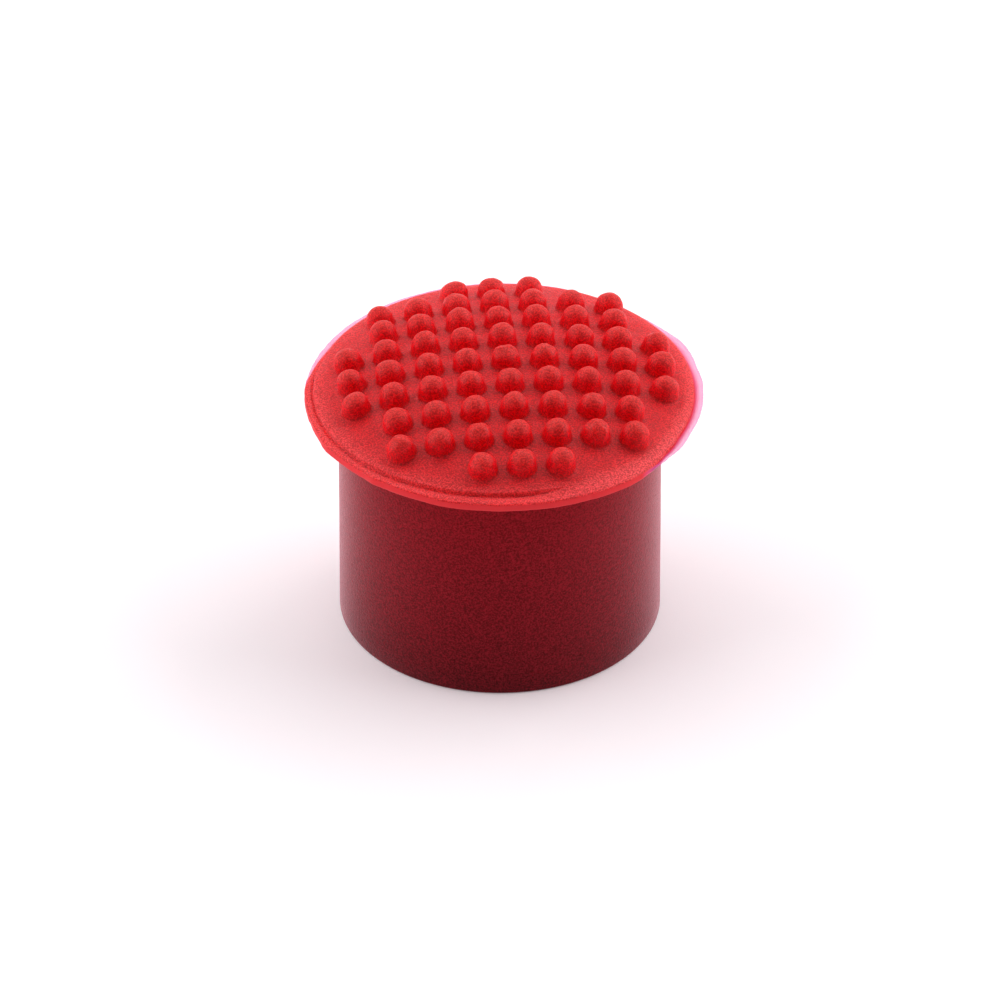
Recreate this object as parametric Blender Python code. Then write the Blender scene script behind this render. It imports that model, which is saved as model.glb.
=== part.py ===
"""Pointing stick cap: a nubbed rubber head on a moulded sleeve with a square post socket.

World frame: metres, +Z up, origin at the middle of the base, where the cap stands.
The rows of nubs and the sides of the square socket run along X and Y.
"""

import math

import bmesh
import bpy

MM = 0.001

# Sleeve: the maroon cylinder with a slight draft, closed by a deck at the top.
SLEEVE_FOOT_RADIUS = 3.96 * MM
SLEEVE_TOP_RADIUS = 3.93 * MM
SLEEVE_HEIGHT = 5.94 * MM
SLEEVE_BORE_RADIUS = 3.30 * MM
FOOT_EDGE_RADIUS = 0.06 * MM
TOP_EDGE_RADIUS = 0.08 * MM
BORE_CHAMFER = 0.10 * MM
DECK_THICKNESS = 0.85 * MM
DECK_HOLE_RADIUS = 1.25 * MM

# Clearance between neighbouring pieces.
GAP = 0.03 * MM

# Socket insert: a plug in the sleeve's bore with a blind square hole for the post.
SOCKET_WIDTH = 4.20 * MM
SOCKET_CORNER_RADIUS = 0.25 * MM
SOCKET_CEILING_Z = 4.55 * MM
INSERT_FACE_Z = 0.30 * MM
MOUTH_CHAMFER = 0.22 * MM
BUTTON_POCKET_RADIUS = 1.85 * MM
BUTTON_POCKET_DEPTH = 0.30 * MM

# Head: a shallow dome over a thin brim, standing slightly off the sleeve's axis.
HEAD_SHIFT_X = 0.10 * MM
BRIM_RADIUS = 4.90 * MM
BRIM_UNDERSIDE_Z = 6.01 * MM
BRIM_EDGE_THICKNESS = 0.24 * MM
BRIM_ROOT_RADIUS = 3.95 * MM
DOME_RIM_RADIUS = 4.50 * MM
DOME_STEP_HEIGHT = 0.08 * MM
DOME_TOP_Z = 7.02 * MM

# Anchor under the head: a stem through the deck with a button below it.
STEM_RADIUS = DECK_HOLE_RADIUS - GAP
BUTTON_RADIUS = BUTTON_POCKET_RADIUS - GAP
BUTTON_THICKNESS = BUTTON_POCKET_DEPTH - GAP

# Nubs: round posts with domed ends, on a square grid trimmed to a circle, a little off the axis.
NUB_PITCH = 0.935 * MM
NUB_GRID_SHIFT_X = 0.05 * MM
NUB_FOOT_RADIUS = 0.38 * MM
NUB_SHOULDER_RADIUS = 0.35 * MM
NUB_HEIGHT = 0.52 * MM
NUB_ROOT_DEPTH = 0.20 * MM
NUB_GRID_REACH = 4
NUB_GRID_LIMIT = 18

# Faceting.
TURN_SEGMENTS = 64
EDGE_STEPS = 3
DOME_STEPS = 7
NUB_SEGMENTS = 10
SMOOTH_ANGLE = math.radians(35)


def clear_scene():
    """Remove every object that the file already holds."""
    for obj in list(bpy.data.objects):
        bpy.data.objects.remove(obj, do_unlink=True)


def make_material(name, colour, roughness):
    """Return a dielectric Principled material."""
    material = bpy.data.materials.new(name)
    material.use_nodes = True
    shader = material.node_tree.nodes["Principled BSDF"]
    shader.inputs["Base Color"].default_value = (*colour, 1.0)
    shader.inputs["Roughness"].default_value = roughness
    shader.inputs["Metallic"].default_value = 0.0
    material.diffuse_color = (*colour, 1.0)
    return material


def add_object(name, bm, material=None):
    """Turn a bmesh into a named, smooth-shaded object in the scene."""
    bmesh.ops.recalc_face_normals(bm, faces=bm.faces)
    mesh = bpy.data.meshes.new(name)
    bm.to_mesh(mesh)
    bm.free()
    mesh.shade_smooth()
    mesh.set_sharp_from_angle(angle=SMOOTH_ANGLE)
    if material:
        mesh.materials.append(material)
    obj = bpy.data.objects.new(name, mesh)
    bpy.context.scene.collection.objects.link(obj)
    return obj


def arc(centre_r, centre_z, radius, start_deg, end_deg, steps):
    """Return points of a profile's arc, as (r, z) pairs, both ends included."""
    angles = [math.radians(start_deg + (end_deg - start_deg) * i / steps) for i in range(steps + 1)]
    return [(centre_r + radius * math.cos(a), centre_z + radius * math.sin(a)) for a in angles]


def add_turned(bm, profile, closed, segments, centre):
    """Turn (r, z) points about an upright axis through centre, which is (x, y, z).

    A closed profile makes a ring, and an open one starts and ends on the axis.
    """
    cx, cy, cz = centre
    angles = [2 * math.pi * i / segments for i in range(segments)]
    rings = []
    for r, z in profile:
        if r == 0.0:
            rings.append([bm.verts.new((cx, cy, cz + z))])
            continue
        rings.append([bm.verts.new((cx + r * math.cos(a), cy + r * math.sin(a), cz + z)) for a in angles])
    pairs = list(zip(rings, rings[1:]))
    if closed:
        pairs.append((rings[-1], rings[0]))
    for lower, upper in pairs:
        for i in range(segments):
            corners = [lower[i % len(lower)], lower[(i + 1) % len(lower)]]
            corners += [upper[(i + 1) % len(upper)], upper[i % len(upper)]]
            bm.faces.new(list(dict.fromkeys(corners)))


def turn(profile, closed, centre=(0.0, 0.0, 0.0)):
    """Return a bmesh of one large turned shape."""
    bm = bmesh.new()
    add_turned(bm, profile, closed, TURN_SEGMENTS, centre)
    return bm


def boolean(target, operand, operation):
    """Add an exact Boolean modifier and keep its operand out of the model."""
    modifier = target.modifiers.new(operand.name, "BOOLEAN")
    modifier.operation = operation
    modifier.solver = "EXACT"
    modifier.object = operand
    operand.hide_render = True
    operand.display_type = "WIRE"


def sleeve_profile():
    """Outline of the sleeve's section, a closed loop from the foot up the outside and down the bore."""
    deck_underside = SLEEVE_HEIGHT - DECK_THICKNESS
    foot = arc(
        SLEEVE_FOOT_RADIUS - FOOT_EDGE_RADIUS, FOOT_EDGE_RADIUS, FOOT_EDGE_RADIUS, -90, 0, EDGE_STEPS
    )
    top = arc(
        SLEEVE_TOP_RADIUS - TOP_EDGE_RADIUS,
        SLEEVE_HEIGHT - TOP_EDGE_RADIUS,
        TOP_EDGE_RADIUS,
        0,
        90,
        EDGE_STEPS,
    )
    inside = [
        (DECK_HOLE_RADIUS, SLEEVE_HEIGHT),
        (DECK_HOLE_RADIUS, deck_underside),
        (SLEEVE_BORE_RADIUS, deck_underside),
        (SLEEVE_BORE_RADIUS, BORE_CHAMFER),
        (SLEEVE_BORE_RADIUS + BORE_CHAMFER, 0.0),
    ]
    return foot + top + inside


def make_sleeve(material):
    """The cylinder that the head sits on, open below."""
    return add_object("body_sleeve", turn(sleeve_profile(), closed=True), material)


def rounded_square(bm, half_width, corner_radius, z):
    """Add a loop of vertices around a square with rounded corners."""
    inset = half_width - corner_radius
    loop = []
    for quarter, (sx, sy) in enumerate(((1, 1), (-1, 1), (-1, -1), (1, -1))):
        for x, y in arc(sx * inset, sy * inset, corner_radius, 90 * quarter, 90 * quarter + 90, EDGE_STEPS):
            loop.append(bm.verts.new((x, y, z)))
    return loop


def bridge(bm, lower, upper):
    """Join two equal loops with a band of quads."""
    for i in range(len(lower)):
        j = (i + 1) % len(lower)
        bm.faces.new((lower[i], lower[j], upper[j], upper[i]))


def make_socket_cutter():
    """The post's space: a square prism that flares where it leaves the insert's face."""
    bm = bmesh.new()
    half = SOCKET_WIDTH / 2
    below_face = MOUTH_CHAMFER
    sections = [
        (half + MOUTH_CHAMFER + below_face, INSERT_FACE_Z - below_face),
        (half, INSERT_FACE_Z + MOUTH_CHAMFER),
        (half, SOCKET_CEILING_Z),
    ]
    loops = [rounded_square(bm, width, SOCKET_CORNER_RADIUS, z) for width, z in sections]
    for lower, upper in zip(loops, loops[1:]):
        bridge(bm, lower, upper)
    bm.faces.new(loops[0])
    bm.faces.new(loops[-1])
    return add_object("socket_cutter", bm)


def make_insert(material):
    """The plug inside the sleeve: a square socket below, a shallow pocket for the button above."""
    radius = SLEEVE_BORE_RADIUS - GAP
    top = SLEEVE_HEIGHT - DECK_THICKNESS - GAP
    profile = [
        (0.0, INSERT_FACE_Z),
        (radius - BORE_CHAMFER, INSERT_FACE_Z),
        (radius, INSERT_FACE_Z + BORE_CHAMFER),
        (radius, top),
        (BUTTON_POCKET_RADIUS, top),
        (BUTTON_POCKET_RADIUS, top - BUTTON_POCKET_DEPTH),
        (0.0, top - BUTTON_POCKET_DEPTH),
    ]
    insert = add_object("post_socket", turn(profile, closed=False), material)
    boolean(insert, make_socket_cutter(), "DIFFERENCE")
    return insert


def dome_sphere():
    """Radius and centre height of the sphere that the dome's top is cut from."""
    rise = DOME_TOP_Z - dome_rim_z()
    radius = (DOME_RIM_RADIUS**2 + rise**2) / (2 * rise)
    return radius, DOME_TOP_Z - radius


def dome_rim_z():
    """Height of the dome's edge, above the brim by the step."""
    return BRIM_UNDERSIDE_Z + BRIM_EDGE_THICKNESS + DOME_STEP_HEIGHT


def dome_surface_z(distance):
    """Height of the dome's surface at a distance from the head's axis."""
    radius, centre_z = dome_sphere()
    return centre_z + math.sqrt(radius**2 - distance**2)


def head_profile():
    """Half section of the head without nubs or anchor, from the axis below to the top of the dome."""
    half_edge = BRIM_EDGE_THICKNESS / 2
    edge = arc(
        BRIM_RADIUS - half_edge, BRIM_UNDERSIDE_Z + half_edge, half_edge, -90, 90, 2 * EDGE_STEPS
    )
    root_z = SLEEVE_HEIGHT + GAP
    dome = [
        (DOME_RIM_RADIUS * (1 - i / DOME_STEPS), dome_surface_z(DOME_RIM_RADIUS * (1 - i / DOME_STEPS)))
        for i in range(DOME_STEPS + 1)
    ]
    step_foot = (DOME_RIM_RADIUS + 0.2 * DOME_STEP_HEIGHT, BRIM_UNDERSIDE_Z + BRIM_EDGE_THICKNESS)
    return [(0.0, root_z), (BRIM_ROOT_RADIUS, root_z)] + edge + [step_foot] + dome


def make_anchor():
    """Stem and button, which reach from inside the dome to below the sleeve's deck."""
    deck_underside = SLEEVE_HEIGHT - DECK_THICKNESS
    button_top = deck_underside - GAP
    inside_dome = BRIM_UNDERSIDE_Z + BRIM_EDGE_THICKNESS
    profile = [
        (0.0, button_top - BUTTON_THICKNESS),
        (BUTTON_RADIUS, button_top - BUTTON_THICKNESS),
        (BUTTON_RADIUS, button_top),
        (STEM_RADIUS, button_top),
        (STEM_RADIUS, inside_dome),
        (0.0, inside_dome),
    ]
    return add_object("anchor_stem", turn(profile, closed=False))


def nub_centres():
    """Grid points of the nubs, measured from the head's axis."""
    reach = range(-NUB_GRID_REACH, NUB_GRID_REACH + 1)
    inside = [(i, j) for j in reach for i in reach if i * i + j * j <= NUB_GRID_LIMIT]
    return [(i * NUB_PITCH + NUB_GRID_SHIFT_X, j * NUB_PITCH) for i, j in inside]


def nub_profile():
    """Half section of one nub, from below the dome's surface, which is at height 0, to its tip."""
    shoulder_z = NUB_HEIGHT - NUB_SHOULDER_RADIUS
    end = arc(0.0, shoulder_z, NUB_SHOULDER_RADIUS, 0, 90, EDGE_STEPS)
    end[-1] = (0.0, NUB_HEIGHT)
    return [(0.0, -NUB_ROOT_DEPTH), (NUB_FOOT_RADIUS, -NUB_ROOT_DEPTH)] + end


def make_nub_field():
    """All nubs, each rooted in the dome."""
    bm = bmesh.new()
    for x, y in nub_centres():
        centre = (HEAD_SHIFT_X + x, y, dome_surface_z(math.hypot(x, y)))
        add_turned(bm, nub_profile(), False, NUB_SEGMENTS, centre)
    return add_object("nub_field", bm)


def make_head(material):
    """The rubber head: dome and brim, with the nubs and the anchor joined on."""
    bm = turn(head_profile(), closed=False, centre=(HEAD_SHIFT_X, 0.0, 0.0))
    head = add_object("dome_head", bm, material)
    boolean(head, make_nub_field(), "UNION")
    boolean(head, make_anchor(), "UNION")
    return head


def main():
    """Build the cap."""
    clear_scene()
    rubber = make_material("head_rubber", (0.56, 0.022, 0.028), 0.62)
    sleeve_plastic = make_material("sleeve_plastic", (0.16, 0.012, 0.018), 0.48)
    socket_plastic = make_material("socket_plastic", (0.11, 0.010, 0.014), 0.42)
    make_sleeve(sleeve_plastic)
    make_insert(socket_plastic)
    make_head(rubber)


main()
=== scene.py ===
"""Looks for a pointing stick cap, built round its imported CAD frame.

Shapes are worked out in millimetres, from the CAD boxes and the named sizes below, and are
scaled to metres when their meshes are made. Angles round the cap count from +X towards +Y. The
camera, the lights and the materials are in metres.
"""

import math
import random

import bmesh
import bpy
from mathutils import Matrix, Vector, noise


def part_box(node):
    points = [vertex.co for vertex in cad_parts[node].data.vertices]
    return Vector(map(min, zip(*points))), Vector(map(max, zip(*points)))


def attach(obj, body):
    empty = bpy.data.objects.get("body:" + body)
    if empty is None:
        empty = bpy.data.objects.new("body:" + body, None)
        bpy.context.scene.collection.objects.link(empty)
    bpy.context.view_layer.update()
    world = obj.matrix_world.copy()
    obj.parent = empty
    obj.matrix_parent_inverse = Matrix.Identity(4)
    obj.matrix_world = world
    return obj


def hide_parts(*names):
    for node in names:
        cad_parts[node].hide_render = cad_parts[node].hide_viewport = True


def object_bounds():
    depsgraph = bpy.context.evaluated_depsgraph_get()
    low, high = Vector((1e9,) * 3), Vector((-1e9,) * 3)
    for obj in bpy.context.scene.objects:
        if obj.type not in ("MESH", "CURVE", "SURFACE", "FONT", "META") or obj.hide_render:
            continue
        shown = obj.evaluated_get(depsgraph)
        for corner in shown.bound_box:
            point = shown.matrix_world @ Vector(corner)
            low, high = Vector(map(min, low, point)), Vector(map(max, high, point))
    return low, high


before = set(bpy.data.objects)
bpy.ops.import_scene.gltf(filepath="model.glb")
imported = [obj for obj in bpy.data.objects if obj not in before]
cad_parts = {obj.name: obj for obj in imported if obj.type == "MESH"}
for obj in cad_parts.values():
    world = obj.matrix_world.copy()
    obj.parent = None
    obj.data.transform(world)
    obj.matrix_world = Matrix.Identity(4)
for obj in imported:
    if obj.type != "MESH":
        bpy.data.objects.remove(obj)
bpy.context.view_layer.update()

MM = 0.001
BODY = "root"


def box_mm(node):
    """Lowest and highest corner of a CAD node in millimetres."""
    low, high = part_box(node)
    return low / MM, high / MM


HEAD_LOW, HEAD_HIGH = box_mm("dome_head")
SLEEVE_LOW, SLEEVE_HIGH = box_mm("body_sleeve")
SOCKET_LOW, SOCKET_HIGH = box_mm("post_socket")

# Nubs.
NUB_HEIGHT = 0.52
NUB_FOOT_RADIUS = 0.365
NUB_SHOULDER_RADIUS = 0.34
NUB_FILLET = 0.035
NUB_PITCH = 0.935
NUB_GRID_SHIFT_X = 0.05
NUB_GRID_REACH = 4
NUB_GRID_LIMIT = 18
NUB_FIELD_RADIUS = 4.40
NUB_LUMP_SIZE = 0.016
NUB_ROUGHNESS = 0.006
NUB_RAGGEDNESS = 0.035

# Dome.
HEAD_X = (HEAD_LOW.x + HEAD_HIGH.x) / 2
DOME_TOP_Z = HEAD_HIGH.z - NUB_HEIGHT
DOME_RIM_RADIUS = 4.50
DOME_RIM_Z = 6.335
DOME_RISE = DOME_TOP_Z - DOME_RIM_Z
DOME_SPHERE_RADIUS = (DOME_RIM_RADIUS**2 + DOME_RISE**2) / (2 * DOME_RISE)

# Brim, out to the flash.
BRIM_RADIUS = (HEAD_HIGH.x - HEAD_LOW.x) / 2
BRIM_TOP_Z = 6.24
BRIM_UNDERSIDE_Z = 6.01
BRIM_UNDERSIDE_FALL = 0.10
BRIM_ROOT_RADIUS = 3.95
BRIM_EDGE_ROUND = 0.035
BRIM_WAVE = 0.018
SOLID_BRIM_LEAST = 4.62
SHELF_LEAST = 0.15
FLASH_RADIUS = BRIM_RADIUS - 0.07
FLASH_SHIFT = 0.02
FLASH_WIDTH = 0.25
FLASH_WIDTH_LEAST = 0.008
FLASH_HALF_THICKNESS = 0.016
FILM_LEAST = 0.1

# Step between the dome and the brim.
RIM_RADIUS = 4.47
RIM_SHIFT = 0.16
STEP_START = 163
STEP_END = 279
STEP_EASE = 16

# Anchor below the head, and the gap to the piece it grips.
STEM_RADIUS = 1.22
BUTTON_RADIUS = 1.82
DECK_UNDERSIDE_Z = 5.09
GAP = 0.03

# Sleeve.
SLEEVE_TOP_RADIUS = 3.93
SLEEVE_BORE_RADIUS = 3.30
DECK_HOLE_RADIUS = 1.25
FOOT_EDGE_ROUND = 0.06
TOP_EDGE_ROUND = 0.08
DECK_HOLE_ROUND = 0.02
BORE_TOP_ROUND = 0.06
BORE_MOUTH_ROUND = 0.12
SLEEVE_SWELL = 0.006
BORE_WAIST_Z = 2.5

# Socket insert, with its square hole measured across the flats.
POCKET_RADIUS = 1.85
POCKET_DEPTH = 0.30
SOCKET_HALF_WIDTH = 2.10
SOCKET_CORNER_RADIUS = 0.25
SOCKET_CEILING_Z = 4.55
SOCKET_CEILING_ROUND = 0.06
SOCKET_WAIST_Z = 2.4
INSERT_WAIST_Z = 2.6

# Sampling: points along a grid cell's side, and rings along each stretch of a section.
CELL_STEPS = 8
CAP_RINGS = 7
FILLET_STEPS = 3
APRON_RINGS = 5
SLEEVE_SEGMENTS = 192
SLEEVE_WALL_RINGS = 12


def dome_height(x, y):
    """Height of the plain dome at a place measured from the head's axis."""
    radius = DOME_SPHERE_RADIUS
    return DOME_TOP_Z - radius + math.sqrt(radius**2 - x * x - y * y)


def dome_normal(x, y):
    """Outward normal of the plain dome."""
    radius = DOME_SPHERE_RADIUS
    return Vector((x, y, math.sqrt(radius**2 - x * x - y * y))) / radius


def finish_piece(name, bm, materials, node, sharp_degrees):
    """Make a mesh object in metres that stands for one CAD node and rides on the cap."""
    bmesh.ops.recalc_face_normals(bm, faces=bm.faces)
    bmesh.ops.scale(bm, vec=(MM, MM, MM), verts=bm.verts)
    mesh = bpy.data.meshes.new(name)
    bm.to_mesh(mesh)
    bm.free()
    mesh.shade_smooth()
    mesh.set_sharp_from_angle(angle=math.radians(sharp_degrees))
    for material in materials:
        mesh.materials.append(material)
    piece = bpy.data.objects.new(name, mesh)
    bpy.context.scene.collection.objects.link(piece)
    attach(piece, BODY)
    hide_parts(node)
    return piece


def join_rings(bm, inner, outer, material_index=0):
    """Join two loops of equal length with a band of quads."""
    for k in range(len(inner)):
        following = (k + 1) % len(inner)
        face = bm.faces.new((inner[k], inner[following], outer[following], outer[k]))
        face.material_index = material_index


def close_ring(bm, ring, tip):
    """Close a loop with a fan to one point."""
    for k in range(len(ring)):
        bm.faces.new((ring[k], ring[(k + 1) % len(ring)], tip))


# ---------------------------------------------------------------------------------------
# Head: dome, nubs, brim and flash as one skin
# ---------------------------------------------------------------------------------------


def cell_outline():
    """Points round a unit grid cell, in half steps from its middle, anticlockwise."""
    n = CELL_STEPS
    steps = range(0, 2 * n, 2)
    outline = [(n, -n + s) for s in steps]
    outline += [(n - s, n) for s in steps]
    outline += [(-n, n - s) for s in steps]
    outline += [(-n + s, -n) for s in steps]
    return outline


def nub_section():
    """Half section of a nub from its tip outwards, as (distance from axis, height over dome)."""
    shoulder = NUB_HEIGHT - NUB_SHOULDER_RADIUS
    points = []
    for k in range(1, CAP_RINGS + 1):
        angle = math.pi / 2 * (1 - k / CAP_RINGS)
        rise = NUB_SHOULDER_RADIUS * math.sin(angle)
        points.append((NUB_SHOULDER_RADIUS * math.cos(angle), shoulder + rise))
    side = (NUB_SHOULDER_RADIUS + NUB_FOOT_RADIUS) / 2
    points.append((side, shoulder * 0.6))
    for k in range(FILLET_STEPS + 1):
        angle = math.pi / 2 * k / FILLET_STEPS
        out = NUB_FOOT_RADIUS + NUB_FILLET * (1 - math.cos(angle))
        points.append((out, NUB_FILLET * (1 - math.sin(angle))))
    return points


def nub_cells():
    """Grid places that carry a nub."""
    reach = range(-NUB_GRID_REACH, NUB_GRID_REACH + 1)
    return [(i, j) for j in reach for i in reach if i * i + j * j <= NUB_GRID_LIMIT]


# Nubs that came out of the mould ragged: grid place and how ragged each one is.
RAGGED_NUBS = {
    (0, 0): 1.0,
    (1, 0): 0.6,
    (2, -3): 1.2,
    (-3, -3): 0.7,
    (-1, -4): 0.9,
    (-1, -3): 0.5,
}

# Rows whose nubs came out short, counted back from the middle row, with their share of the height.
SHORT_ROW_HEIGHTS = {4: 0.88, 3: 0.96}

# Nubs that lean: grid place and how far the tip is off it along X and Y, in mm.
LEANING_NUBS = {
    (-1, 4): (0.10, -0.03),
    (0, 4): (0.02, -0.02),
    (0, -4): (0.03, 0.02),
    (1, -4): (0.03, 0.04),
    (3, -3): (-0.02, 0.05),
    (-4, -1): (0.05, 0.0),
}


# Places far apart in the noise field, one for each direction of a displacement.
NOISE_SHIFTS = (Vector((9.3, -1.5, -7.9)), Vector((0.0, 0.0, 0.0)), Vector((6.3, 0.2, -2.7)))


def noise_vector(point):
    """A displacement from -1 to 1 along each axis, the same in every run."""
    return Vector([noise.noise(point + shift) for shift in NOISE_SHIFTS])


def nub_point(i, j, rho, angle, height, shape):
    """A point of one nub's skin, in millimetres, measured from the head's axis.

    rho is the distance from the nub's axis, and height is the height above the dome.
    """
    lift = height / NUB_HEIGHT
    grown = 1 + (shape["width"] - 1) * min(1.0, lift * 3)
    middle_x = i * NUB_PITCH + NUB_GRID_SHIFT_X
    middle_y = j * NUB_PITCH
    x = middle_x + rho * grown * math.cos(angle)
    y = middle_y + rho * grown * math.sin(angle)
    base = Vector((x, y, dome_height(x, y)))
    normal = dome_normal(middle_x, middle_y)
    lean = Vector((shape["lean_x"], shape["lean_y"], 0)) * lift
    point = base + normal * height * shape["height"] + lean
    lumps = noise_vector(point * 2.6 + Vector((7.0, 3.0, 11.0)))
    torn = noise_vector(point * 6.5 + Vector((1.0, 9.0, 5.0)))
    depth = NUB_ROUGHNESS + NUB_RAGGEDNESS * shape["ragged"]
    amount = min(1.0, lift * 2.5)
    return point + (lumps * NUB_LUMP_SIZE + torn * depth) * amount


def add_nub_cell(bm, corners, nub_layer, i, j, shape):
    """One grid cell of the dome with its nub.

    corners holds the cells' border points by their place, so that neighbours share them.
    nub_layer gets the height up the nub, from 0 on the dome to 1 at the tip.
    """
    n = CELL_STEPS
    outline = cell_outline()
    angles = [math.atan2(b, a) for a, b in outline]
    tip = bm.verts.new(nub_point(i, j, 0.0, 0.0, NUB_HEIGHT, shape))
    tip[nub_layer] = 1.0
    previous = None
    for rho, height in nub_section():
        ring = []
        for angle in angles:
            vert = bm.verts.new(nub_point(i, j, rho, angle, height, shape))
            vert[nub_layer] = height / NUB_HEIGHT
            ring.append(vert)
        if previous is None:
            close_ring(bm, ring, tip)
        else:
            join_rings(bm, previous, ring)
        previous = ring
    border = []
    for a, b in outline:
        key = (i * 2 * n + a, j * 2 * n + b)
        if key not in corners:
            x = key[0] * NUB_PITCH / (2 * n) + NUB_GRID_SHIFT_X
            y = key[1] * NUB_PITCH / (2 * n)
            inwards = min(1.0, NUB_FIELD_RADIUS / math.hypot(x, y))
            x *= inwards
            y *= inwards
            corners[key] = bm.verts.new((x, y, dome_height(x, y)))
        border.append(corners[key])
    join_rings(bm, previous, border)


def angular_bump(degrees, centre, half_width):
    """A smooth bump of height 1 round one direction."""
    away = (degrees - centre + 180) % 360 - 180
    return math.exp(-((away / half_width) ** 2))


def smooth_window(degrees, start, end, soft):
    """1 between two directions, easing to 0 outside them."""
    middle = (start + end) / 2
    away = abs((degrees - middle + 180) % 360 - 180)
    t = min(1.0, max(0.0, ((end - start) / 2 - away) / soft + 0.5))
    return t * t * (3 - 2 * t)


# Where the flash grew or shrank: direction in degrees, growth in mm, half width in degrees.
FLASH_LUMPS = (
    (19, 0.11, 9),
    (42, -0.05, 9),
    (60, -0.03, 8),
    (0, 0.05, 8),
    (-15, 0.035, 7),
    (-34, 0.04, 5),
    (-60, 0.015, 9),
    (-112, 0.025, 8),
    (-136, 0.03, 2),
    (-97, 0.015, 2.5),
    (-73, -0.015, 3),
    (203, 0.05, 5),
    (98, 0.02, 14),
    (150, -0.02, 12),
)


# Ripples of the flash's edge, coarse to fine: fineness, place in the noise field, size in mm.
FLASH_RIPPLES = ((3.2, 0.5, 0.012), (14, 2.5, 0.010), (34, 6.5, 0.010))


def ring_noise(degrees, fineness, level):
    """Noise from -1 to 1 round a circle, which closes up after a full turn."""
    a = math.radians(degrees)
    return noise.noise(Vector((fineness * math.cos(a), fineness * math.sin(a), level)))


def flash_edge(degrees):
    """Radius of the brim's outermost edge, flash included."""
    radius = FLASH_RADIUS - FLASH_SHIFT * math.cos(math.radians(degrees))
    radius += sum(size * angular_bump(degrees, at, wide) for at, size, wide in FLASH_LUMPS)
    for fineness, level, size in FLASH_RIPPLES:
        radius += size * ring_noise(degrees, fineness, level)
    return radius


def flash_width(degrees):
    """Width of the thin see-through flash outside the solid brim: widest at the right and behind."""
    tongue = 0.05 * angular_bump(degrees, 19, 12)
    width = FLASH_WIDTH_LEAST + tongue + FLASH_WIDTH * smooth_window(degrees, -40, 160, 34)
    return min(width, flash_edge(degrees) - SOLID_BRIM_LEAST)


def step_share(degrees):
    """How much of the step between dome and brim shows: all at the front left, none behind."""
    return smooth_window(degrees, STEP_START, STEP_END, STEP_EASE)


def rim_radius(degrees):
    """Radius of the dome's edge, whose half of the mould sat a little to the left."""
    shifted = RIM_RADIUS - RIM_SHIFT * math.cos(math.radians(degrees))
    solid = flash_edge(degrees) - flash_width(degrees)
    return min(max(RIM_RADIUS, shifted), solid - SHELF_LEAST)


# Section of the step where all of it shows: distance out from the dome's rim, and height. It is
# a rounded lip, an upright drop and a shallow groove.
STEP_PROFILE = (
    (-0.020, DOME_RIM_Z),
    (-0.004, DOME_RIM_Z - 0.010),
    (0.004, DOME_RIM_Z - 0.034),
    (0.012, BRIM_TOP_Z - 0.004),
    (0.030, BRIM_TOP_Z - 0.026),
    (0.060, BRIM_TOP_Z - 0.016),
)

# Row of the brim's section where its upright edge starts.
EDGE_FACE_ROW = 9


def brim_section(degrees):
    """Section of the brim from the dome's edge outwards and back underneath.

    Each point is (radius, height, film), where film is 0 on solid rubber and 1 on the flash.
    Where there is no flash the film's points close up into the brim's upright edge.
    """
    share = step_share(degrees)
    edge = flash_edge(degrees)
    width = flash_width(degrees)
    solid = edge - width
    rim = rim_radius(degrees)
    # 0 where the edge is upright rubber, 1 where it is a thin film.
    thin = min(1.0, max(0.0, (width - 0.02) / 0.06))
    wave = BRIM_WAVE * ring_noise(degrees, 2.4, 4.5)
    low = BRIM_UNDERSIDE_Z
    ledge_edge = BRIM_TOP_Z - 0.016
    top = share * ledge_edge + (1 - share) * dome_height(solid, 0.0) + wave
    film_z = (top + low) / 2 - 0.01 + wave
    half = 0.5 * (top - low) * (1 - thin) + FLASH_HALF_THICKNESS * thin

    def surface(radius, ledge):
        """Height between the step's ledge and the dome carried on over the brim."""
        smooth = dome_height(radius, 0.0) + wave * (radius - rim) / (solid - rim)
        return share * ledge + (1 - share) * smooth

    def film_point(out, offset, film):
        """Point of the film a share of its width out and a share of its half thickness up."""
        return (solid + out * width, film_z + half * offset, film * thin)

    points = [(rim + out, surface(rim + out, ledge), 0) for out, ledge in STEP_PROFILE]
    shelf_start = rim + STEP_PROFILE[-1][0]
    shelf = solid - BRIM_EDGE_ROUND - shelf_start
    for along, ledge in ((0.35, BRIM_TOP_Z), (0.70, BRIM_TOP_Z - 0.004 + wave * 0.7)):
        radius = shelf_start + along * shelf
        points.append((radius, surface(radius, ledge), 0))
    points += [
        (solid - BRIM_EDGE_ROUND, top, 0),
        (solid - 0.010, top - 0.012, 0),
        film_point(0.0, 0.75, 0),
        film_point(0.25, 0.62, 0.4),
        film_point(0.65, 0.5, 0.75),
        (edge - 0.003, film_z + half * 0.3, thin),
        (edge, film_z, thin),
        (edge - 0.003, film_z - half * 0.3, thin),
        film_point(0.65, -0.5, 0.75),
        film_point(0.10, -0.7, 0.15),
        (solid - 0.012, low + 0.018, 0),
        (solid - 0.040, low, 0),
        (BRIM_ROOT_RADIUS + 0.40, low - 0.55 * BRIM_UNDERSIDE_FALL, 0),
        (BRIM_ROOT_RADIUS + 0.10, low - BRIM_UNDERSIDE_FALL, 0),
        (BRIM_ROOT_RADIUS, SLEEVE_HIGH.z + GAP, 0),
    ]
    return points


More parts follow.
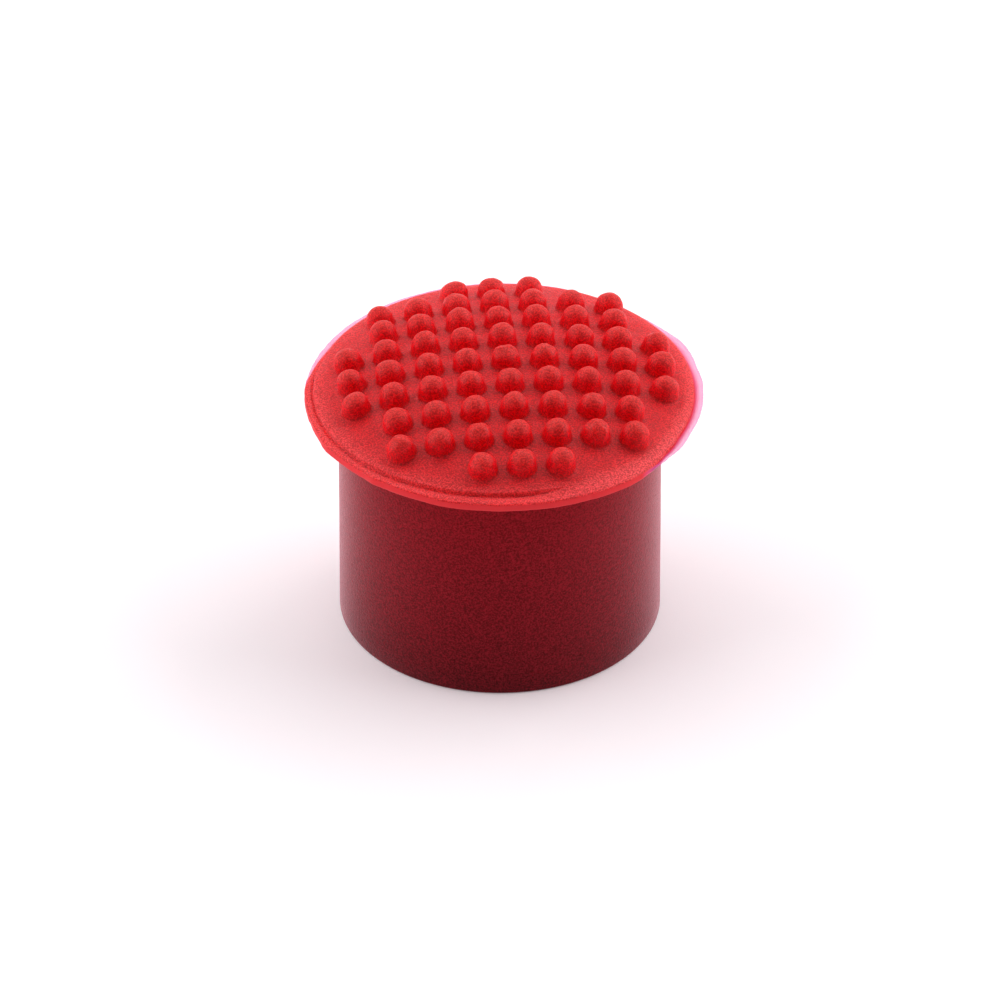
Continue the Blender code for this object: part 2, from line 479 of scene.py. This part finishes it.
def anchor_section():
    """Section of the stem and button, round the sleeve's axis, with bevelled corners."""
    button_top = DECK_UNDERSIDE_Z - GAP
    corner = 0.02
    bevel = 0.04
    return [
        (STEM_RADIUS + 0.08, SLEEVE_HIGH.z + GAP),
        (STEM_RADIUS, SLEEVE_HIGH.z + GAP - 0.06),
        (STEM_RADIUS, button_top + corner),
        (STEM_RADIUS + corner, button_top),
        (BUTTON_RADIUS - bevel, button_top),
        (BUTTON_RADIUS, button_top - bevel),
        (BUTTON_RADIUS, HEAD_LOW.z + bevel),
        (BUTTON_RADIUS - bevel, HEAD_LOW.z),
    ]


def painted_glow_share(radius):
    """Share of painted light through the thinning rubber on the way out to the brim's edge, from 0 to
    1.
    """
    start = 4.1
    run = 0.65
    t = min(1.0, max(0.0, (radius - start) / run))
    return t * t * (3 - 2 * t)


def painted_glow_edge_factor(degrees, row):
    """Factor on the painted light through the rubber: stronger at the right front, weaker on the
    upright edge.
    """
    upright = 0.6 if row >= EDGE_FACE_ROW else 1.0
    return upright * (1 + 1.1 * angular_bump(degrees, -38, 34))


def add_brim(bm, painted_glow_layer, film_layer):
    """Skin from the nub field's border out to the flash, back under and down the anchor.

    painted_glow_layer gets the painted light through the thin rubber, and film_layer how much a point
    lies on the flash.
    """
    border = {v for e in bm.edges if e.is_boundary for v in e.verts}
    loop = sorted(border, key=lambda v: math.atan2(v.co.y, v.co.x))
    angles = [math.degrees(math.atan2(v.co.y, v.co.x)) for v in loop]
    sections = [brim_section(a) for a in angles]
    previous = loop
    for k in range(1, APRON_RINGS):
        ring = []
        for vert, angle in zip(loop, angles):
            start = math.hypot(vert.co.x, vert.co.y)
            share = k / APRON_RINGS
            on_dome = start + (DOME_RIM_RADIUS - start) * share
            radius = start + (rim_radius(angle) - 0.012 - start) * share
            a = math.radians(angle)
            lip = step_share(angle)
            z = lip * dome_height(on_dome, 0.0) + (1 - lip) * dome_height(radius, 0.0)
            vert = bm.verts.new((radius * math.cos(a), radius * math.sin(a), z))
            vert[painted_glow_layer] = painted_glow_share(radius)
            ring.append(vert)
        join_rings(bm, previous, ring)
        previous = ring
    for k in range(len(sections[0])):
        ring = []
        for section, angle in zip(sections, angles):
            radius, z, film = section[k]
            a = math.radians(angle)
            vert = bm.verts.new((radius * math.cos(a), radius * math.sin(a), z))
            vert[film_layer] = film
            vert[painted_glow_layer] = painted_glow_share(radius) * painted_glow_edge_factor(angle, k)
            ring.append(vert)
        is_flash = any(section[k][2] > FILM_LEAST for section in sections)
        join_rings(bm, previous, ring, 1 if is_flash else 0)
        previous = ring
    for radius, z in anchor_section():
        ring = []
        for angle in angles:
            a = math.radians(angle)
            ring.append(bm.verts.new((radius * math.cos(a) - HEAD_X, radius * math.sin(a), z)))
        join_rings(bm, previous, ring)
        previous = ring
    close_ring(bm, previous, bm.verts.new((-HEAD_X, 0.0, HEAD_LOW.z)))


def make_head(rubber, flash):
    """The whole rubber moulding."""
    draw = random.Random(7)
    bm = bmesh.new()
    nub_layer = bm.verts.layers.float.new("nub")
    # The "thin" layer carries painted light: the rubber is drawn paler where light shines through it
    # near the brim.
    painted_glow_layer = bm.verts.layers.float.new("thin")
    film_layer = bm.verts.layers.float.new("film")
    corners = {}
    for i, j in nub_cells():
        lean_x, lean_y = LEANING_NUBS.get((i, j), (0.0, 0.0))
        shape = {
            "width": draw.uniform(0.95, 1.03),
            "height": draw.uniform(0.92, 0.99) * SHORT_ROW_HEIGHTS.get(j, 1.0),
            "lean_x": lean_x + draw.uniform(-0.018, 0.018),
            "lean_y": lean_y + draw.uniform(-0.018, 0.018),
            "ragged": RAGGED_NUBS.get((i, j), draw.uniform(0.0, 0.22)),
        }
        add_nub_cell(bm, corners, nub_layer, i, j, shape)
    add_brim(bm, painted_glow_layer, film_layer)
    bmesh.ops.translate(bm, vec=(HEAD_X, 0.0, 0.0), verts=bm.verts)
    return finish_piece(
        "nubbed_head", bm, [rubber, flash], "dome_head", sharp_degrees=62
    )


# ---------------------------------------------------------------------------------------
# Sleeve and socket insert
# ---------------------------------------------------------------------------------------


def arc(centre_r, centre_z, radius, start, end, steps):
    """Points of a section's arc between two angles in degrees."""
    angles = [math.radians(start + (end - start) * k / steps) for k in range(steps + 1)]
    return [(centre_r + radius * math.cos(a), centre_z + radius * math.sin(a)) for a in angles]


def sleeve_section():
    """Closed section of the sleeve: up the outside, over the deck, down the bore."""
    foot = SLEEVE_HIGH.x
    top = SLEEVE_TOP_RADIUS
    height = SLEEVE_HIGH.z
    bore = SLEEVE_BORE_RADIUS
    hole = DECK_HOLE_RADIUS
    deck = DECK_UNDERSIDE_Z
    points = arc(foot - FOOT_EDGE_ROUND, FOOT_EDGE_ROUND, FOOT_EDGE_ROUND, -90, 0, 5)
    for k in range(1, SLEEVE_WALL_RINGS):
        share = k / SLEEVE_WALL_RINGS
        z = FOOT_EDGE_ROUND + (height - FOOT_EDGE_ROUND - TOP_EDGE_ROUND) * share
        points.append((foot + (top - foot) * share, z))
    points += arc(top - TOP_EDGE_ROUND, height - TOP_EDGE_ROUND, TOP_EDGE_ROUND, 0, 90, 4)
    points += [(hole + DECK_HOLE_ROUND, height), (hole, height - DECK_HOLE_ROUND)]
    points += [(hole, deck + DECK_HOLE_ROUND), (hole + DECK_HOLE_ROUND, deck)]
    points += arc(bore - BORE_TOP_ROUND, deck - BORE_TOP_ROUND, BORE_TOP_ROUND, 90, 0, 3)
    points += [(bore, BORE_WAIST_Z), (bore, BORE_MOUTH_ROUND)]
    points += arc(bore + BORE_MOUTH_ROUND, BORE_MOUTH_ROUND, BORE_MOUTH_ROUND, 180, 270, 4)[1:]
    return points


def make_sleeve(plastic):
    """The maroon cylinder, very slightly out of round."""
    bm = bmesh.new()
    rings = []
    for r, z in sleeve_section():
        ring = []
        for k in range(SLEEVE_SEGMENTS):
            a = 2 * math.pi * k / SLEEVE_SEGMENTS
            place = Vector((1.3 * math.cos(a), 1.3 * math.sin(a), z * 0.6))
            radius = r + SLEEVE_SWELL * noise.noise(place)
            ring.append(bm.verts.new((radius * math.cos(a), radius * math.sin(a), z)))
        rings.append(ring)
    for k in range(len(rings)):
        join_rings(bm, rings[k], rings[(k + 1) % len(rings)])
    return finish_piece("sleeve", bm, [plastic], "body_sleeve", sharp_degrees=40)


def square_radius(angle, half, corner):
    """Distance from the axis to a rounded square's side in one direction."""
    c = abs(math.cos(angle))
    s = abs(math.sin(angle))
    flat = half / max(c, s)
    inner = half - corner
    x = flat * c
    y = flat * s
    if x <= inner or y <= inner:
        return flat
    along = inner * (c + s)
    return along + math.sqrt(max(0.0, along * along - 2 * inner * inner + corner * corner))


def make_socket(plastic):
    """The plug with the square hole, as loops from the pocket's middle round to the ceiling."""
    low = SOCKET_LOW.z
    high = SOCKET_HIGH.z
    outer = SOCKET_HIGH.x
    pocket = POCKET_RADIUS
    pocket_floor = high - POCKET_DEPTH
    half = SOCKET_HALF_WIDTH
    corner = SOCKET_CORNER_RADIUS
    ceiling = SOCKET_CEILING_Z
    rounding = SOCKET_CEILING_ROUND
    round_loops = [
        (pocket - 0.04, pocket_floor),
        (pocket, pocket_floor + 0.04),
        (pocket, high - 0.02),
        (pocket + 0.02, high),
        (outer - 0.05, high),
        (outer, high - 0.05),
        (outer, INSERT_WAIST_Z),
        (outer, low + 0.12),
        (outer - 0.03, low + 0.045),
        (outer - 0.10, low),
    ]
    square_loops = [
        (half + 0.23, corner + 0.02, low),
        (half + 0.21, corner + 0.01, low + 0.015),
        (half + 0.02, corner, low + 0.21),
        (half, corner, low + 0.25),
        (half, corner, SOCKET_WAIST_Z),
        (half, corner, ceiling - rounding),
        (half - rounding, corner - rounding, ceiling),
    ]
    bm = bmesh.new()
    angles = [2 * math.pi * k / SLEEVE_SEGMENTS for k in range(SLEEVE_SEGMENTS)]
    rings = []
    for r, z in round_loops:
        rings.append([bm.verts.new((r * math.cos(a), r * math.sin(a), z)) for a in angles])
    for flat, bend, z in square_loops:
        ring = []
        for a in angles:
            r = square_radius(a, flat, bend)
            ring.append(bm.verts.new((r * math.cos(a), r * math.sin(a), z)))
        rings.append(ring)
    for inner, following in zip(rings, rings[1:]):
        join_rings(bm, inner, following)
    close_ring(bm, rings[0], bm.verts.new((0.0, 0.0, pocket_floor)))
    close_ring(bm, rings[-1], bm.verts.new((0.0, 0.0, ceiling)))
    return finish_piece(
        "socket_insert", bm, [plastic], "post_socket", sharp_degrees=40
    )


# ---------------------------------------------------------------------------------------
# Materials
# ---------------------------------------------------------------------------------------


class Nodes:
    """Short calls for building one material's node tree."""

    def __init__(self, name):
        self.material = bpy.data.materials.new(name)
        self.material.use_nodes = True
        self.tree = self.material.node_tree
        self.shader = self.tree.nodes["Principled BSDF"]

    def add(self, kind, **values):
        """A node with some of its attributes set."""
        node = self.tree.nodes.new(kind)
        for key, value in values.items():
            setattr(node, key, value)
        return node

    def link(self, source, target):
        """A link from an output to an input."""
        self.tree.links.new(source, target)

    def coordinates(self):
        """Object coordinates, which are metres on these pieces."""
        return self.add("ShaderNodeTexCoord").outputs["Object"]

    def attribute(self, name):
        """A value stored at the mesh's points."""
        return self.add("ShaderNodeAttribute", attribute_name=name).outputs["Fac"]

    def noise(self, scale, detail, roughness):
        """Noise by object coordinates, with its scale in cycles per metre."""
        node = self.add("ShaderNodeTexNoise")
        node.inputs["Scale"].default_value = scale
        node.inputs["Detail"].default_value = detail
        node.inputs["Roughness"].default_value = roughness
        self.link(self.coordinates(), node.inputs["Vector"])
        return node.outputs["Fac"]

    def ramp(self, factor, stops):
        """Colour ramp over (position, colour) stops."""
        node = self.add("ShaderNodeValToRGB")
        elements = node.color_ramp.elements
        while len(elements) < len(stops):
            elements.new(0.5)
        for element, (position, colour) in zip(elements, stops):
            element.position = position
            element.color = (*colour, 1.0)
        self.link(factor, node.inputs["Fac"])
        return node.outputs["Color"]

    def remap(self, value, low, high, to_low, to_high):
        """Value moved from one range to another."""
        node = self.add("ShaderNodeMapRange")
        node.inputs["From Min"].default_value = low
        node.inputs["From Max"].default_value = high
        node.inputs["To Min"].default_value = to_low
        node.inputs["To Max"].default_value = to_high
        self.link(value, node.inputs["Value"])
        return node.outputs["Result"]

    def mix(self, factor, first, second):
        """Blend of two colours."""
        node = self.add("ShaderNodeMix", data_type="RGBA")
        self.link(factor, node.inputs["Factor"])
        for socket, value in ((node.inputs["A"], first), (node.inputs["B"], second)):
            if isinstance(value, tuple):
                socket.default_value = (*value, 1.0)
            else:
                self.link(value, socket)
        return node.outputs["Result"]

    def combine(self, operation, colour, second):
        """A linked colour combined with a fixed one, channel by channel."""
        node = self.add("ShaderNodeMix", data_type="RGBA", blend_type=operation)
        node.inputs["Factor"].default_value = 1.0
        self.link(colour, node.inputs["A"])
        node.inputs["B"].default_value = (*second, 1.0)
        return node.outputs["Result"]

    def bump(self, height, strength, distance):
        """Bump on the shader, with its depth in metres."""
        node = self.add("ShaderNodeBump")
        node.inputs["Strength"].default_value = strength
        node.inputs["Distance"].default_value = distance
        self.link(height, node.inputs["Height"])
        self.link(node.outputs["Normal"], self.shader.inputs["Normal"])

    def set(self, **values):
        """Uniform values straight on the shader's sockets."""
        for key, value in values.items():
            self.shader.inputs[key.replace("_", " ")].default_value = value


def head_rubber():
    """Soft, slightly translucent red silicone with a fine grain, painted lighter towards the brim
    where light shines through the thin rubber.

    The nubs' sides are painted a purer red for the deep, saturated red of their shaded faces, and
    their tips painted duller and paler for the highlight veil on their lit tops.
    """
    m = Nodes("head_rubber")
    patches = [(0.35, (0.61, 0.005, 0.008)), (0.65, (0.67, 0.008, 0.012))]
    broad = m.ramp(m.noise(900, 3, 0.5), patches)
    thin = m.attribute("thin")
    nub = m.attribute("nub")
    # Painted shade on the nubs' sides and a painted highlight on their tips.
    sides = m.mix(m.remap(nub, 0.03, 0.25, 0.0, 1.0), broad, (0.72, 0.0015, 0.006))
    tips = m.mix(m.remap(nub, 0.6, 1.0, 0.0, 1.0), sides, (0.58, 0.017, 0.015))
    # Painted light: the rubber turns pale pink towards the brim, standing in for light shining
    # through the thin rubber.
    tone = m.mix(m.remap(thin, 0.0, 2.2, 0.0, 1.0), tips, (0.84, 0.070, 0.076))
    speckle = m.remap(m.noise(25000, 2, 0.6), 0.38, 0.62, 0.0, 1.0)
    dark = m.combine("MULTIPLY", tone, (0.62, 0.5, 0.5))
    light = m.combine("MULTIPLY", tone, (1.25, 1.7, 1.7))
    m.link(m.mix(speckle, dark, light), m.shader.inputs["Base Color"])
    m.link(m.remap(m.noise(5000, 2, 0.5), 0.3, 0.7, 0.46, 0.62), m.shader.inputs["Roughness"])
    m.set(Subsurface_Weight=1.0, Subsurface_Radius=(1.0, 0.08, 0.06), Subsurface_Scale=0.0004)
    m.set(Specular_IOR_Level=0.22)
    m.bump(m.noise(20000, 3, 0.6), 0.6, 0.000012)
    return m.material


def flash_film():
    """Thin flash that lets the light behind it through."""
    m = Nodes("flash_film")
    film = m.attribute("film")
    cloud = m.mix(m.noise(2500, 3, 0.5), (0.92, 0.10, 0.42), (0.97, 0.19, 0.58))
    near = m.mix(m.remap(film, 0.0, 0.35, 0.0, 1.0), (0.80, 0.028, 0.036), (0.95, 0.10, 0.26))
    m.link(m.mix(m.remap(film, 0.3, 0.8, 0.0, 1.0), near, cloud), m.shader.inputs["Base Color"])
    m.link(m.remap(film, 0.10, 0.7, 1.0, 0.42), m.shader.inputs["Alpha"])
    m.set(Roughness=0.5, Specular_IOR_Level=0.15)
    m.bump(m.noise(9000, 3, 0.6), 0.4, 0.000012)
    return m.material


def sleeve_plastic():
    """Maroon satin plastic with painted shade that makes it darker towards the foot, and a sheen for
    the pale veil at its edges.
    """
    m = Nodes("sleeve_plastic")
    axes = m.add("ShaderNodeSeparateXYZ")
    m.link(m.coordinates(), axes.inputs["Vector"])
    # Painted shade: the colour darkens from the top down to the foot.
    up = m.remap(axes.outputs["Z"], 0.0, SLEEVE_HIGH.z * MM, 0.0, 1.0)
    foot = (0.0, (0.085, 0.0, 0.001))
    waist = (0.3, (0.17, 0.0003, 0.003))
    top = (1.0, (0.275, 0.0005, 0.004))
    tone = m.ramp(up, [foot, waist, top])
    patch = m.remap(m.noise(700, 3, 0.5), 0.3, 0.7, 0.0, 0.25)
    colour = m.mix(patch, tone, (0.22, 0.0005, 0.004))
    grain = m.remap(m.noise(22000, 2, 0.6), 0.38, 0.62, 0.0, 1.0)
    dark = m.combine("MULTIPLY", colour, (0.60, 0.4, 0.5))
    light = m.combine("ADD", colour, (0.09, 0.005, 0.010))
    m.link(m.mix(grain, dark, light), m.shader.inputs["Base Color"])
    m.link(m.remap(m.noise(6000, 2, 0.5), 0.3, 0.7, 0.26, 0.38), m.shader.inputs["Roughness"])
    m.set(Specular_IOR_Level=0.03)
    m.set(Sheen_Weight=1.0, Sheen_Roughness=0.36, Sheen_Tint=(1.0, 0.53, 0.60, 1.0))
    m.bump(m.noise(15000, 3, 0.6), 0.6, 0.000014)
    return m.material


def socket_plastic():
    """Smooth dark maroon plastic of the hidden insert."""
    m = Nodes("socket_plastic")
    patches = [(0.3, (0.085, 0.006, 0.010)), (0.7, (0.13, 0.012, 0.018))]
    tone = m.ramp(m.noise(1200, 4, 0.55), patches)
    m.link(tone, m.shader.inputs["Base Color"])
    m.link(m.remap(m.noise(4000, 3, 0.5), 0.3, 0.7, 0.34, 0.5), m.shader.inputs["Roughness"])
    m.set(Specular_IOR_Level=0.35)
    m.bump(m.noise(7000, 3, 0.5), 0.25, 0.000008)
    return m.material


# ---------------------------------------------------------------------------------------
# Stage
# ---------------------------------------------------------------------------------------

CAMERA_AZIMUTH = math.radians(-5.75)
CAMERA_ELEVATION = math.radians(35.0)
CAMERA_DISTANCE = 200.0 * MM
VIEW_WIDTH = 24.53 * MM
AIM = Vector((0.0, 0.0, 2.99 * MM))
FLOOR_HALF_WIDTH = 1.5
FLOOR_GLOW = 0.12
SURROUND_LIGHT = 0.14

# Softboxes: name, place, width and radiance.
SOFTBOXES = (
    ("softbox_above", (0.0, 0.07, 0.30), 0.30, 0.88),
    ("softbox_behind", (0.0, 0.30, 0.19), 0.40, 1.0),
    ("softbox_left", (-0.28, 0.06, 0.17), 0.40, 2.0),
    ("softbox_right", (0.28, 0.06, 0.17), 0.40, 2.35),
)


def make_camera():
    """A long lens at the view's azimuth and elevation."""
    data = bpy.data.cameras.new("camera")
    camera = bpy.data.objects.new("camera", data)
    bpy.context.scene.collection.objects.link(camera)
    back = Vector(
        (
            math.sin(CAMERA_AZIMUTH) * math.cos(CAMERA_ELEVATION),
            -math.cos(CAMERA_AZIMUTH) * math.cos(CAMERA_ELEVATION),
            math.sin(CAMERA_ELEVATION),
        )
    )
    camera.location = AIM + back * CAMERA_DISTANCE
    camera.rotation_mode = "QUATERNION"
    camera.rotation_quaternion = (-back).to_track_quat("-Z", "Y")
    data.lens = data.sensor_width * CAMERA_DISTANCE / VIEW_WIDTH
    data.clip_start = 0.01
    data.clip_end = 10.0
    bpy.context.scene.camera = camera


def make_floor():
    """A plain pale floor at the cap's foot, with a faint glow that keeps its shadows soft."""
    bm = bmesh.new()
    bmesh.ops.create_grid(bm, x_segments=1, y_segments=1, size=FLOOR_HALF_WIDTH)
    mesh = bpy.data.meshes.new("floor")
    bm.to_mesh(mesh)
    bm.free()
    material = Nodes("floor_white")
    material.set(Base_Color=(0.95, 0.90, 0.93, 1.0), Roughness=0.9, Specular_IOR_Level=0.1)
    material.set(Emission_Color=(1.0, 0.97, 1.0, 1.0), Emission_Strength=FLOOR_GLOW)
    mesh.materials.append(material.material)
    floor = bpy.data.objects.new("floor", mesh)
    bpy.context.scene.collection.objects.link(floor)
    floor.location.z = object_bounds()[0].z


def add_softbox(name, place, width, radiance):
    """A square area light of a given radiance that faces the cap."""
    data = bpy.data.lights.new(name, "AREA")
    data.shape = "SQUARE"
    data.size = width
    data.energy = radiance * math.pi * width * width
    light = bpy.data.objects.new(name, data)
    bpy.context.scene.collection.objects.link(light)
    light.location = place
    light.rotation_mode = "QUATERNION"
    light.rotation_quaternion = (Vector(place) - AIM).to_track_quat("Z", "Y")
    light.visible_camera = False


def make_surround():
    """A surround that looks white and gives only a dim light of its own."""
    world = bpy.data.worlds.new("surround")
    world.use_nodes = True
    nodes = world.node_tree.nodes
    links = world.node_tree.links
    dim = nodes["Background"]
    dim.inputs["Color"].default_value = (1.0, 0.98, 1.0, 1.0)
    dim.inputs["Strength"].default_value = SURROUND_LIGHT
    white = nodes.new("ShaderNodeBackground")
    white.inputs["Strength"].default_value = 1.0
    white.inputs["Color"].default_value = (1.0, 1.0, 1.0, 1.0)
    mix = nodes.new("ShaderNodeMixShader")
    links.new(nodes.new("ShaderNodeLightPath").outputs["Is Camera Ray"], mix.inputs[0])
    links.new(dim.outputs[0], mix.inputs[1])
    links.new(white.outputs[0], mix.inputs[2])
    links.new(mix.outputs[0], nodes["World Output"].inputs["Surface"])
    bpy.context.scene.world = world


def make_light():
    """Big soft lights above, behind and at both sides, and none at the front."""
    for name, place, width, radiance in SOFTBOXES:
        add_softbox(name, place, width, radiance)


bpy.context.scene.view_settings.view_transform = "Standard"
make_head(head_rubber(), flash_film())
make_sleeve(sleeve_plastic())
make_socket(socket_plastic())
make_floor()
make_surround()
make_light()
make_camera()
